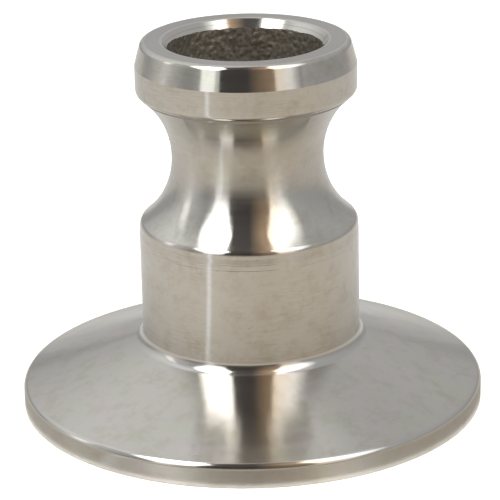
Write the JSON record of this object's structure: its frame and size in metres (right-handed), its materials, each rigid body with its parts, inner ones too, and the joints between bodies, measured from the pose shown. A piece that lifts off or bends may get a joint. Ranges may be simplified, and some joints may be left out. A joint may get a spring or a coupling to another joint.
{
  "type": "camlock to tri-clamp adapter",
  "caption": "Stainless pipe adapter: a cam-grooved quick-coupling head on a short shank above a round sanitary clamp flange, with a flow passage through it.",
  "frame": {"origin": "middle of the sealing face under the clamp flange", "axes": "+Z along the flow axis, from the clamp flange up to the coupling head"},
  "size_m": [0.0506, 0.0506, 0.0405],
  "materials": {
    "turned_stainless": "satin turned outside, as cast inside the passage"
  },
  "bodies": {
    "root": {"adapter_body": "turned_stainless"}
  },
  "joints": []
}
